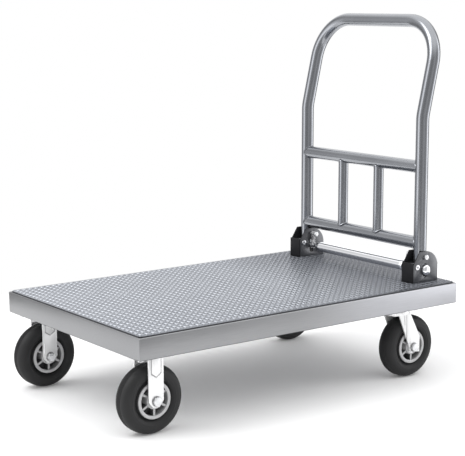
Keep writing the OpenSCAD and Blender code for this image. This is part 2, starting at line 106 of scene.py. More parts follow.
class Grain(Enum):
    """Which way the fine marks of a finish run."""

    ALONG_X = (1.5, 60.0, 60.0)
    ALONG_Y = (60.0, 1.5, 60.0)
    ALONG_Z = (60.0, 60.0, 1.5)
    EVEN = (22.0, 22.0, 22.0)


@dataclass(frozen=True)
class Finish:
    """One surface finish, turned into a material the first time it is asked for."""

    name: str
    dark: Point
    light: Point
    metallic: float = 1.0
    rough_low: float = 0.25
    rough_high: float = 0.40
    grain: Grain = Grain.EVEN
    grain_size: float = 14.0
    blotch_size: float = 6.0
    bump: float = 0.05
    bump_depth: float = 0.0002
    coat: float = 0.0
    specular: float = 0.5
    # The last three fields paint a reflection into the colour, darker or lighter towards the handle
    # end.
    painted_reflection_x: float = 0.0
    painted_reflection_tone: float = 1.0
    painted_reflection_reach: float = 0.34

    def material(self) -> bpy.types.Material:
        """Returns this finish's material, building its nodes once."""
        made = bpy.data.materials.get(self.name)
        return made if made else self._build()

    def _build(self) -> bpy.types.Material:
        """Builds the node tree: blotches in the colour, fine grain in gloss and height."""
        mat = bpy.data.materials.new(self.name)
        mat.use_nodes = True
        tree = mat.node_tree
        link = tree.links.new
        shader = tree.nodes["Principled BSDF"]
        for label, value in (
            ("Metallic", self.metallic), ("Coat Weight", self.coat),
            ("Coat Roughness", 0.12), ("Specular IOR Level", self.specular),
        ):
            shader.inputs[label].default_value = value
        place = add_node(tree, "ShaderNodeTexCoord").outputs["Object"]
        stretch = add_node(tree, "ShaderNodeMapping", {"Scale": self.grain.value})
        link(place, stretch.inputs["Vector"])
        blotch = add_node(tree, "ShaderNodeTexNoise", {"Scale": self.blotch_size, "Detail": 3.0})
        link(place, blotch.inputs["Vector"])
        fine = add_node(tree, "ShaderNodeTexNoise", {"Scale": self.grain_size, "Detail": 4.0})
        link(stretch.outputs["Vector"], fine.inputs["Vector"])
        tone = add_node(tree, "ShaderNodeMix", {"Factor": 0.45}, data_type="FLOAT")
        link(blotch.outputs["Fac"], tone.inputs[2])
        link(fine.outputs["Fac"], tone.inputs[3])
        colour = add_node(tree, "ShaderNodeValToRGB")
        for stop, share, end in zip(
            colour.color_ramp.elements, (0.32, 0.68), (self.dark, self.light)
        ):
            stop.position = share
            stop.color = (*end, 1.0)
        link(tone.outputs[0], colour.inputs["Fac"])
        tint = colour.outputs["Color"]
        # Painted reflection: the colour turns darker or lighter towards the handle.
        if self.painted_reflection_tone != 1.0:
            tint = self._painted_reflection_towards_handle(tree, place, tint)
        link(tint, shader.inputs["Base Color"])
        gloss = add_node(tree, "ShaderNodeMapRange", {
            "From Min": 0.3, "From Max": 0.7,
            "To Min": self.rough_low, "To Max": self.rough_high,
        })
        link(tone.outputs[0], gloss.inputs["Value"])
        link(gloss.outputs["Result"], shader.inputs["Roughness"])
        height = add_node(
            tree, "ShaderNodeBump", {"Strength": self.bump, "Distance": self.bump_depth}
        )
        link(fine.outputs["Fac"], height.inputs["Height"])
        link(height.outputs["Normal"], shader.inputs["Normal"])
        return mat

    def _painted_reflection_towards_handle(
        self, tree: bpy.types.NodeTree, place: bpy.types.NodeSocket, tint: bpy.types.NodeSocket
    ) -> bpy.types.NodeSocket:
        """Paints a reflection into the colour: the finish turns darker or lighter towards the
        handle.

        Args:
            tree: The material's tree.
            place: The socket with the object coordinates.
            tint: The socket with the even colour.

        Returns:
            The socket with the changed colour.
        """
        split = add_node(tree, "ShaderNodeSeparateXYZ")
        reach = add_node(
            tree, "ShaderNodeMapRange",
            {"From Min": self.painted_reflection_x - self.painted_reflection_reach, "From Max": self.painted_reflection_x},
            interpolation_type="SMOOTHSTEP",
        )
        tone = self.painted_reflection_tone
        mix = add_node(
            tree, "ShaderNodeMix", {7: (tone, tone, tone * 1.03, 1.0)},
            data_type="RGBA", blend_type="MULTIPLY",
        )
        tree.links.new(place, split.inputs["Vector"])
        tree.links.new(split.outputs["X"], reach.inputs["Value"])
        tree.links.new(reach.outputs["Result"], mix.inputs["Factor"])
        tree.links.new(tint, mix.inputs[6])
        return mix.outputs[2]


# Lighter towards the handle as a painted reflection.
SKIRT_STEEL = Finish(
    "folded_steel", dark=(0.265, 0.268, 0.275), light=(0.325, 0.328, 0.336),
    metallic=0.95, rough_low=0.27, rough_high=0.37, grain=Grain.ALONG_X, grain_size=10.0,
    blotch_size=4.0, bump=0.03, painted_reflection_x=0.30, painted_reflection_tone=1.33,
)
END_STEEL = Finish(
    "frame_steel", dark=(0.30, 0.305, 0.32), light=(0.42, 0.425, 0.44),
    metallic=0.9, rough_low=0.38, rough_high=0.55, grain=Grain.ALONG_Y, grain_size=10.0,
    blotch_size=9.0, bump=0.08,
)
# Painted shade: the dark line along the skirt's bottom fold, the pan's top border and the tread
# plate's side faces.
EDGE_SHADE = Finish(
    "painted_edge_shade", dark=(0.050, 0.052, 0.058), light=(0.090, 0.092, 0.100),
    metallic=0.5, rough_low=0.45, rough_high=0.60, grain_size=40.0, blotch_size=20.0, bump=0.15,
)
# Darker towards the handle as a painted reflection.
TREAD_STEEL = Finish(
    "rolled_tread_steel", dark=(0.180, 0.191, 0.215), light=(0.238, 0.250, 0.279),
    metallic=0.95, rough_low=0.30, rough_high=0.42, grain=Grain.ALONG_X, grain_size=12.0,
    blotch_size=5.0, bump=0.10, painted_reflection_x=0.40, painted_reflection_tone=0.58,
)
# Lighter than the tread plate as a painted highlight on the raised lozenges; darker towards the
# handle as a painted reflection.
LOZENGE_HIGHLIGHT_STEEL = Finish(
    "lozenge_steel_painted_highlight", dark=(0.300, 0.316, 0.345), light=(0.372, 0.389, 0.418),
    metallic=0.95, rough_low=0.26, rough_high=0.38, grain_size=30.0, blotch_size=8.0, bump=0.08,
    painted_reflection_x=0.40, painted_reflection_tone=0.56,
)
HANDLE_PAINT = Finish(
    "metallic_grey_paint", dark=(0.255, 0.265, 0.285), light=(0.305, 0.315, 0.335),
    metallic=0.95, rough_low=0.13, rough_high=0.20, grain_size=40.0, blotch_size=9.0, bump=0.03,
    bump_depth=0.0001, coat=0.25,
)
BRACKET_PAINT = Finish(
    "bracket_grey_paint", dark=(0.105, 0.108, 0.116), light=(0.140, 0.143, 0.152),
    metallic=0.6, rough_low=0.30, rough_high=0.42, grain_size=40.0, blotch_size=14.0,
    bump_depth=0.0001, coat=0.25,
)
FORK_ZINC = Finish(
    "bright_zinc", dark=(0.84, 0.845, 0.85), light=(0.92, 0.92, 0.92),
    metallic=0.50, rough_low=0.22, rough_high=0.30, grain=Grain.ALONG_Z, grain_size=4.0,
    blotch_size=12.0, bump=0.01,
)
# Painted shade: the dark lines in the fork creases and panel grooves, and the dark washers round the
# axle bolts.
CREASE_AND_BOLT_SHADE = Finish(
    "painted_crease_and_bolt_shade", dark=(0.22, 0.22, 0.225), light=(0.30, 0.30, 0.305),
    metallic=0.6, rough_low=0.40, rough_high=0.52, grain_size=30.0, blotch_size=20.0, bump=0.08,
)
BOLT_ZINC = Finish(
    "bolt_zinc", dark=(0.62, 0.625, 0.63), light=(0.80, 0.80, 0.795),
    metallic=1.0, rough_low=0.22, rough_high=0.36, grain_size=60.0, blotch_size=40.0, bump=0.08,
)
CHROME = Finish(
    "polished_chrome", dark=(0.84, 0.85, 0.87), light=(0.92, 0.925, 0.94),
    metallic=1.0, rough_low=0.04, rough_high=0.10, grain=Grain.ALONG_Y, grain_size=12.0,
    blotch_size=10.0, bump=0.02,
)
SPRING_WIRE = Finish(
    "drawn_spring_wire", dark=(0.50, 0.50, 0.51), light=(0.68, 0.68, 0.69),
    metallic=1.0, rough_low=0.20, rough_high=0.32, grain_size=120.0, blotch_size=60.0,
    bump=0.08,
)
CAST_RIM = Finish(
    "cast_rim_grey", dark=(0.42, 0.42, 0.425), light=(0.54, 0.54, 0.545),
    metallic=0.35, rough_low=0.42, rough_high=0.60, grain_size=70.0, blotch_size=30.0,
    bump=0.25, bump_depth=0.0003,
)
# Painted shade at the foot of the rim's windows between the spokes.
RIM_WINDOW_SHADE = Finish(
    "painted_rim_window_shade", dark=(0.040, 0.040, 0.042), light=(0.075, 0.075, 0.078),
    metallic=0.2, rough_low=0.55, rough_high=0.70, grain_size=70.0, blotch_size=30.0, bump=0.25,
    bump_depth=0.0003,
)
TYRE_RUBBER = Finish(
    "tyre_rubber", dark=(0.010, 0.010, 0.0105), light=(0.019, 0.019, 0.020),
    metallic=0.0, rough_low=0.50, rough_high=0.66, grain_size=90.0, blotch_size=18.0, bump=0.35,
    bump_depth=0.0003, specular=0.35,
)
# Real rubber on the buffer pads; on the brackets it is painted shade inside the channel and also
# darkens their front and upward faces.
RUBBER_AND_BRACKET_SHADE = Finish(
    "buffer_rubber_and_bracket_shade", dark=(0.013, 0.013, 0.015), light=(0.022, 0.022, 0.024),
    metallic=0.0, rough_low=0.50, rough_high=0.65, grain_size=60.0, blotch_size=20.0, bump=0.25,
    specular=0.15,
)


# ---- mesh helpers --------------------------------------------------------------------


@dataclass(frozen=True)
class NodeBox:
    """The rest box of a node of the frame."""

    low: Vector
    high: Vector

    @classmethod
    def of(cls, node: str) -> "NodeBox":
        """Returns the box of a named node."""
        low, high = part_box(node)
        return cls(Vector(low), Vector(high))

    @property
    def middle(self) -> Vector:
        """The box's middle."""
        return (self.low + self.high) / 2

    @property
    def size(self) -> Vector:
        """The box's size along each axis."""
        return self.high - self.low


def shade(mesh: bpy.types.Mesh, angle: float = SHARP) -> None:
    """Shades a mesh smooth, but for edges past an angle in radians."""
    mesh.shade_smooth()
    mesh.set_sharp_from_angle(angle=angle)


def clean(mesh: bpy.types.Mesh, merge: float = 1e-6) -> None:
    """Merges doubles, turns faces outwards and shades smooth with sharp edges.

    Args:
        mesh: The mesh to clean in place.
        merge: The distance under which vertices merge.
    """
    work = bmesh.new()
    work.from_mesh(mesh)
    bmesh.ops.remove_doubles(work, verts=work.verts, dist=merge)
    bmesh.ops.recalc_face_normals(work, faces=work.faces)
    work.to_mesh(mesh)
    work.free()
    shade(mesh)


def piece_from(
    name: str, verts: Sequence[Sequence[float]], faces: Sequence[Sequence[int]]
) -> bpy.types.Object:
    """Makes a linked mesh object.

    Args:
        name: The piece's name.
        verts: Vertex places in metres.
        faces: Vertex numbers of each face.

    Returns:
        The new object, at the origin.
    """
    mesh = bpy.data.meshes.new(name)
    mesh.from_pydata([tuple(v) for v in verts], [], [tuple(f) for f in faces])
    clean(mesh)
    piece = bpy.data.objects.new(name, mesh)
    bpy.context.scene.collection.objects.link(piece)
    return piece


def bands(rings: int, around: int, closed: bool = False) -> list[tuple[int, ...]]:
    """Returns the faces that join rings of points into a skin.

    Args:
        rings: The number of rings.
        around: The number of points in each ring.
        closed: Whether the last ring joins the first one.

    Returns:
        The four-sided faces as vertex numbers.
    """
    return [
        (
            i * around + k, i * around + (k + 1) % around,
            (i + 1) % rings * around + (k + 1) % around, (i + 1) % rings * around + k,
        )
        for i in range(rings if closed else rings - 1)
        for k in range(around)
    ]


def ends(rings: int, around: int) -> list[tuple[int, ...]]:
    """Returns the faces that close the first and the last ring of a skin."""
    last = (rings - 1) * around
    return [tuple(range(around)), tuple(last + k for k in range(around))]


def join(name: str, parts: Iterable[bpy.types.Object]) -> bpy.types.Object:
    """Joins objects into one plain mesh object and removes the originals.

    Args:
        name: The joined piece's name.
        parts: The objects to join.

    Returns:
        The joined object.
    """
    work = bmesh.new()
    for part in parts:
        work.from_mesh(part.data)
        bpy.data.objects.remove(part)
    mesh = bpy.data.meshes.new(name)
    work.to_mesh(mesh)
    work.free()
    shade(mesh)
    piece = bpy.data.objects.new(name, mesh)
    bpy.context.scene.collection.objects.link(piece)
    return piece


def settle(piece: bpy.types.Object) -> bpy.types.Object:
    """Replaces a piece's mesh by its evaluated one and removes its modifiers.

    Args:
        piece: The piece to settle.

    Returns:
        The same piece.
    """
    graph = bpy.context.evaluated_depsgraph_get()
    mesh = bpy.data.meshes.new_from_object(piece.evaluated_get(graph))
    piece.modifiers.clear()
    piece.data = mesh
    return piece


def bevel(
    piece: bpy.types.Object, width: float, steps: int = 2, angle: float = 40.0
) -> bpy.types.Object:
    """Rounds a piece's sharp edges.

    Args:
        piece: The piece to round.
        width: The width of the rounding in metres.
        steps: The number of strips in each rounding.
        angle: The angle in degrees past which an edge is rounded.

    Returns:
        The same piece with plain mesh data.
    """
    mod = piece.modifiers.new("edge", "BEVEL")
    mod.width = width
    mod.segments = steps
    mod.limit_method = "ANGLE"
    mod.angle_limit = math.radians(angle)
    mod.harden_normals = False
    settle(piece)
    shade(piece.data, math.radians(46))
    return piece


def softened(name: str, node: str, width: float, steps: int = 2) -> bpy.types.Object:
    """Copies a frame node with rounded edges and lets the copy stand for it.

    Args:
        name: The copy's name.
        node: The frame node to copy.
        width: The edge rounding in metres.
        steps: The number of strips in each rounding.

    Returns:
        The rounded copy.
    """
    mesh = bpy.data.meshes.new(name)
    work = bmesh.new()
    work.from_mesh(frame["nodes"][node].data)
    bmesh.ops.remove_doubles(work, verts=work.verts, dist=2e-6)
    bmesh.ops.dissolve_limit(
        work, angle_limit=math.radians(1.0), verts=work.verts, edges=work.edges
    )
    work.to_mesh(mesh)
    work.free()
    piece = bpy.data.objects.new(name, mesh)
    bpy.context.scene.collection.objects.link(piece)
    bevel(piece, width, steps)
    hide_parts(node)
    return piece


def dress(piece: bpy.types.Object, finish: Finish, body: str) -> None:
    """Gives a piece its finish and material slot, and makes it ride on a body.

    Args:
        piece: The piece to dress.
        finish: Its finish.
        body: The body it rides on.
    """
    piece.data.materials.clear()
    piece.data.materials.append(finish.material())
    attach(piece, body)
    log.info("%s: %d faces on %s", piece.name, len(piece.data.polygons), body)


def touch_up(
    piece: bpy.types.Object, finish: Finish, rule: Callable[[Vector, Vector], bool]
) -> None:
    """Gives the faces that a rule picks a second finish.

    Args:
        piece: The dressed piece.
        finish: The second finish.
        rule: Takes a face's middle and normal, and says whether it is picked.
    """
    piece.data.materials.append(finish.material())
    last = len(piece.data.materials) - 1
    for face in piece.data.polygons:
        if rule(face.center, face.normal):
            face.material_index = last


def refinish(node: str, finish: Finish) -> None:
    """Gives a frame node another material and keeps its mesh.

    Args:
        node: The frame node.
        finish: Its new finish.
    """
    shown = frame["nodes"][node]
    if not shown.material_slots:
        shown.data.materials.append(finish.material())
    for slot in shown.material_slots:
        slot.material = finish.material()


def tube(
    name: str, path: Sequence[Vector], radius: float, around: int = 32,
    closed: bool = False,
) -> bpy.types.Object:
    """Sweeps a round bar along a path without twist.

    Args:
        name: The piece's name.
        path: The path's points in metres.
        radius: The bar's radius.
        around: The number of faces around.
        closed: Whether the path ends where it starts.

    Returns:
        The bar, with flat ends on an open path.
    """
    count = len(path)
    verts: list[Vector] = []
    normal: Vector | None = None
    for i, place in enumerate(path):
        if closed:
            ahead = path[(i + 1) % count] - path[i - 1]
        else:
            ahead = path[min(i + 1, count - 1)] - path[max(i - 1, 0)]
        ahead = ahead.normalized()
        if normal is None:
            normal = ahead.orthogonal().normalized()
        normal = (normal - ahead * normal.dot(ahead)).normalized()
        across = ahead.cross(normal)
        for k in range(around):
            turn = 2 * math.pi * k / around
            verts.append(place + radius * (math.cos(turn) * normal + math.sin(turn) * across))
    faces = bands(count, around, closed)
    if not closed:
        faces += ends(count, around)
    return piece_from(name, verts, faces)


def lathe(
    name: str, profile: Sequence[tuple[float, float]], centre: Vector, around: int = 64
) -> bpy.types.Object:
    """Turns a profile about the Y direction through a centre.

    Args:
        name: The piece's name.
        profile: Radius and offset along Y of each profile point, in metres.
        centre: The middle of the turned piece.
        around: The number of faces around.

    Returns:
        The turned piece, whose profile closes on itself.
    """
    verts = [
        centre + Vector((r * math.cos(2 * math.pi * k / around), y,
                         r * math.sin(2 * math.pi * k / around)))
        for r, y in profile
        for k in range(around)
    ]
    return piece_from(name, verts, bands(len(profile), around, closed=True))


def mirrored(side: Sequence[tuple[float, float]]) -> list[tuple[float, float]]:
    """Returns a turned profile's one side and its mirror image about the middle."""
    return [*side, *((r, -y) for r, y in reversed(side))]


def slab(
    name: str, outline: Sequence[tuple[float, float]], centre: Vector, y_low: float,
    y_high: float,
) -> bpy.types.Object:
    """Extrudes an outline in X and Z along Y.

    Args:
        name: The piece's name.
        outline: The outline's points, from the centre, in metres.
        centre: The place the outline is drawn from.
        y_low: The lower end along Y, from the centre.
        y_high: The upper end along Y, from the centre.

    Returns:
        The plate.
    """
    count = len(outline)
    verts = [centre + Vector((x, y, z)) for y in (y_low, y_high) for x, z in outline]
    faces: list[tuple[int, ...]] = [tuple(range(count)), tuple(range(count, 2 * count))]
    faces += [(i, (i + 1) % count, count + (i + 1) % count, count + i) for i in range(count)]
    return piece_from(name, verts, faces)


def arc(
    centre: tuple[float, float], radius: float, start: float, end: float, steps: int
) -> list[tuple[float, float]]:
    """Returns points on a flat arc, with its angles in degrees."""
    return [
        (
            centre[0] + radius * math.cos(math.radians(start + (end - start) * i / steps)),
            centre[1] + radius * math.sin(math.radians(start + (end - start) * i / steps)),
        )
        for i in range(steps + 1)
    ]


# ---- geometry nodes ------------------------------------------------------------------


class Scatter:
    """A geometry node tree that puts one piece on every point of a mesh."""

    def __init__(self, finish: Finish) -> None:
        """Builds the tree for one finish.

        Args:
            finish: The finish that the result gets.
        """
        tree = bpy.data.node_groups.new("scatter_" + finish.name, "GeometryNodeTree")
        face = tree.interface
        face.new_socket("Points", in_out="INPUT", socket_type="NodeSocketGeometry")
        self.piece_id = face.new_socket(
            "Piece", in_out="INPUT", socket_type="NodeSocketObject"
        ).identifier
        face.new_socket("Result", in_out="OUTPUT", socket_type="NodeSocketGeometry")
        entry, leave = add_node(tree, "NodeGroupInput"), add_node(tree, "NodeGroupOutput")
        info = add_node(tree, "GeometryNodeObjectInfo")
        turn = add_node(
            tree, "GeometryNodeInputNamedAttribute", {"Name": "turn"}, data_type="FLOAT_VECTOR"
        )
        put = add_node(tree, "GeometryNodeInstanceOnPoints")
        real = add_node(tree, "GeometryNodeRealizeInstances")
        paint = add_node(tree, "GeometryNodeSetMaterial", {"Material": finish.material()})
        link = tree.links.new
        link(entry.outputs["Piece"], info.inputs["Object"])
        link(entry.outputs["Points"], put.inputs["Points"])
        link(info.outputs["Geometry"], put.inputs["Instance"])
        link(turn.outputs["Attribute"], put.inputs["Rotation"])
        link(put.outputs["Instances"], real.inputs["Geometry"])
        link(real.outputs["Geometry"], paint.inputs["Geometry"])
        link(paint.outputs["Geometry"], leave.inputs["Result"])
        self.tree = tree

    def spread(
        self, name: str, pattern: bpy.types.Object, places: Sequence[Vector],
        turns: Sequence[Vector],
    ) -> bpy.types.Object:
        """Copies a pattern piece to many places and returns them as one plain mesh.

        Args:
            name: The name of the result.
            pattern: The piece to copy, drawn round the origin. It is removed.
            places: Where the copies go.
            turns: The Euler turn of each copy, in radians.

        Returns:
            The copies as one object.
        """
        mesh = bpy.data.meshes.new(name)
        mesh.from_pydata([tuple(p) for p in places], [], [])
        mesh.attributes.new("turn", "FLOAT_VECTOR", "POINT")
        mesh.attributes["turn"].data.foreach_set("vector", [c for t in turns for c in t])
        piece = bpy.data.objects.new(name, mesh)
        bpy.context.scene.collection.objects.link(piece)
        mod = piece.modifiers.new("scatter", "NODES")
        mod.node_group = self.tree
        mod[self.piece_id] = pattern
        settle(piece)
        bpy.data.objects.remove(pattern)
        shade(piece.data, math.radians(38))
        return piece


class Coil:
    """A geometry node tree that winds a wire coil along Z."""

    def __init__(self, finish: Finish) -> None:
        """Builds the tree for one finish.

        Args:
            finish: The finish that the result gets.
        """
        tree = bpy.data.node_groups.new("coil_" + finish.name, "GeometryNodeTree")
        face = tree.interface
        face.new_socket("Unused", in_out="INPUT", socket_type="NodeSocketGeometry")
        self.ids = [
            face.new_socket(label, in_out="INPUT", socket_type="NodeSocketFloat").identifier
            for label in ("Turns", "Radius", "Wire", "Height")
        ]
        face.new_socket("Result", in_out="OUTPUT", socket_type="NodeSocketGeometry")
        entry, leave = add_node(tree, "NodeGroupInput"), add_node(tree, "NodeGroupOutput")
        spiral = add_node(tree, "GeometryNodeCurveSpiral", {"Resolution": 20})
        ring = add_node(tree, "GeometryNodeCurvePrimitiveCircle", {"Resolution": 8})
        sweep = add_node(tree, "GeometryNodeCurveToMesh", {"Fill Caps": True})
        real = add_node(tree, "GeometryNodeRealizeInstances")
        paint = add_node(tree, "GeometryNodeSetMaterial", {"Material": finish.material()})
        link = tree.links.new
        link(entry.outputs["Turns"], spiral.inputs["Rotations"])
        link(entry.outputs["Radius"], spiral.inputs["Start Radius"])
        link(entry.outputs["Radius"], spiral.inputs["End Radius"])
        link(entry.outputs["Height"], spiral.inputs["Height"])
        link(entry.outputs["Wire"], ring.inputs["Radius"])
        link(spiral.outputs["Curve"], sweep.inputs["Curve"])
        link(ring.outputs["Curve"], sweep.inputs["Profile Curve"])
        link(sweep.outputs["Mesh"], real.inputs["Geometry"])
        link(real.outputs["Geometry"], paint.inputs["Geometry"])
        link(paint.outputs["Geometry"], leave.inputs["Result"])
        self.tree = tree

    def wind(
        self, name: str, foot: Vector, turns: float, radius: float, wire: float, height: float
    ) -> bpy.types.Object:
        """Winds one coil.

        Args:
            name: The coil's name.
            foot: The coil's foot, on its axis.
            turns: The number of turns.
            radius: The radius to the wire's middle.
            wire: The wire's radius.
            height: The coil's height.

        Returns:
            The coil as a plain mesh.
        """
        piece = bpy.data.objects.new(name, bpy.data.meshes.new(name))
        bpy.context.scene.collection.objects.link(piece)
        mod = piece.modifiers.new("coil", "NODES")
        mod.node_group = self.tree
        for label, value in zip(self.ids, (turns, radius, wire, height)):
            mod[label] = value
        settle(piece)
        piece.data.transform(Matrix.Translation(foot))
        clean(piece.data, 1e-7)
        return piece


# ---- deck ----------------------------------------------------------------------------


@dataclass
class Deck:
    """The folded pan, its tread plate and the frame under it."""

    sheet: float = 2.5 * MM
    fold: float = 3.0 * MM
    lip: float = 14.0 * MM
    pitch: float = 17.0 * MM
    lozenge_long: float = 15.6 * MM
    lozenge_wide: float = 5.8 * MM
    lozenge_high: float = 1.3 * MM
    lozenge_sunk: float = 0.05 * MM
    border: float = 1.0 * MM

    def build(self) -> None:
        """Builds every deck piece."""
        self.pan()
        self.tread()
        self.lozenges()
        for i in range(1, 5):
            refinish(f"crossmember_{i}", END_STEEL)
        for side in SIDES:
            refinish(f"stiffener_{side}", END_STEEL)

    def _ring(self, half: Vector, inset: float, z: float, radius: float) -> list[Vector]:
        """Returns a ring of points round a rectangle with round corners.

        Args:
            half: Half the rectangle's size along X and Y.
            inset: How far the ring lies inside the rectangle.
            z: The ring's height.
            radius: The corner radius.

        Returns:
            The ring's points, anticlockwise from above.
        """
        steps = 4
        points = []
        for quarter in range(4):
            sx = 1 if quarter in (0, 3) else -1
            sy = 1 if quarter < 2 else -1
            cx = sx * (half.x - inset - radius)
            cy = sy * (half.y - inset - radius)
            for i in range(steps + 1):
                turn = math.radians(90 * quarter + 90 * i / steps)
                points.append(Vector((cx + radius * math.cos(turn),
                                      cy + radius * math.sin(turn), z)))
        return points

    def pan(self) -> None:
        """Builds the pan as one folded sheet with round folds and a return lip."""
        box = NodeBox.of("deck_pan")
        half, top, low = box.size / 2, box.high.z, box.low.z
        section = [
            *arc((self.fold, top - self.fold), self.fold, 90, 180, 4),
            *arc((self.fold, low + self.fold), self.fold, 180, 270, 4),
            (self.lip, low), (self.lip, low + self.sheet),
            (self.sheet, low + self.sheet), (self.sheet, top - self.sheet),
        ]
        rings = [self._ring(half, d, z, max(self.fold - d, 0.3 * MM)) for d, z in section]
        verts = [v + Vector((box.middle.x, box.middle.y, 0)) for ring in rings for v in ring]
        size = len(rings), len(rings[0])
        piece = piece_from("deck_skirt", verts, bands(*size) + ends(*size))
        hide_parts("deck_pan")
        dress(piece, SKIRT_STEEL, "deck")
        # Painted shade on the bottom fold and on the pan's top border round the plate.
        touch_up(piece, EDGE_SHADE, lambda c, n: (
            (-0.99 < n.z < -0.3 and c.z < low + self.fold)
            or (n.z > 0.95 and c.z > top - self.sheet / 2)
        ))

    def tread(self) -> None:
        """Builds the tread plate's sheet with slightly rounded edges and painted shade on its side
        faces.
        """
        piece = softened("tread_sheet", "tread_plate", 0.6 * MM)
        dress(piece, TREAD_STEEL, "deck")
        touch_up(piece, EDGE_SHADE, lambda c, n: abs(n.z) < 0.5)

    def _lozenge(self) -> bpy.types.Object:
        """Builds one raised lozenge: pointed ends, sloped sides and a low crown."""
        levels = ((0.0, 1.0), (0.8, 0.68))
        half_long, half_wide = self.lozenge_long / 2, self.lozenge_wide / 2
        across = (-1.0, -0.55, 0.0, 0.55)
        verts: list[Vector] = []
        for height, share in levels:
            rim = [(t, math.cos(t * math.pi / 2) ** 0.8) for t in across]
            rim += [(-t, -w) for t, w in rim]
            verts += [
                Vector((t * half_long * (0.3 + 0.7 * share), w * half_wide * share,
                        height * self.lozenge_high))
                for t, w in rim
            ]
        count = len(verts) // len(levels)
        faces = bands(len(levels), count)
        verts.append(Vector((0, 0, self.lozenge_high)))
        last = (len(levels) - 1) * count
        faces += [(last + k, last + (k + 1) % count, len(verts) - 1) for k in range(count)]
        faces.append(tuple(reversed(range(count))))
        return piece_from("lozenge_pattern", verts, faces)

    @staticmethod
    def _trim(piece: bpy.types.Object, box: NodeBox) -> None:
        """Cuts off what reaches past the plate's four edges, and closes the cuts.

        Args:
            piece: The lozenges.
            box: The plate's box.
        """
        inset = Vector((0.8 * MM, 0.8 * MM, 0))
        work = bmesh.new()
        work.from_mesh(piece.data)
        for place, normal in (
            (box.low + inset, Vector((-1, 0, 0))), (box.low + inset, Vector((0, -1, 0))),
            (box.high - inset, Vector((1, 0, 0))), (box.high - inset, Vector((0, 1, 0))),
        ):
            cut = bmesh.ops.bisect_plane(
                work, geom=[*work.verts, *work.edges, *work.faces], plane_co=place,
                plane_no=normal, clear_outer=True,
            )
            edges = [e for e in cut["geom_cut"] if isinstance(e, bmesh.types.BMEdge)]
            bmesh.ops.holes_fill(work, edges=edges)
        bmesh.ops.recalc_face_normals(work, faces=work.faces)
        work.to_mesh(piece.data)
        work.free()

    def lozenges(self) -> None:
        """Spreads the raised lozenges over the tread plate in alternate directions."""
        box = NodeBox.of("tread_plate")
        room = self.lozenge_long * 0.36 + 1.5 * self.border
        reach = box.size / 2
        notches = [NodeBox.of(f"bracket_{side}") for side in SIDES]
        places, turns = [], []
        spans = [int(s / self.pitch / 2) + 2 for s in (box.size.x, box.size.y)]
        for i in range(-spans[0], spans[0] + 1):
            for j in range(-spans[1], spans[1] + 1):
                for shift, turn in ((0.0, 45.0), (0.5, -45.0)):
                    x = (i + shift) * self.pitch
                    y = (j + shift) * self.pitch
                    inside = (
                        abs(x) < reach.x - self.border and abs(y) < reach.y - self.border
                        and abs(x) + abs(y) < reach.x + reach.y - room
                    )
                    near = any(
                        n.low.x - room - 3 * self.border < x < n.high.x + room + 2 * self.border
                        and n.low.y - room < y < n.high.y + room
                        for n in notches
                    )
                    if inside and not near:
                        places.append(Vector((x, y, box.high.z - self.lozenge_sunk)))
                        turns.append(Vector((0, 0, math.radians(turn))))
        piece = Scatter(LOZENGE_HIGHLIGHT_STEEL).spread("tread_lozenges", self._lozenge(), places, turns)
        self._trim(piece, box)
        dress(piece, LOZENGE_HIGHLIGHT_STEEL, "deck")


# ---- handle --------------------------------------------------------------------------


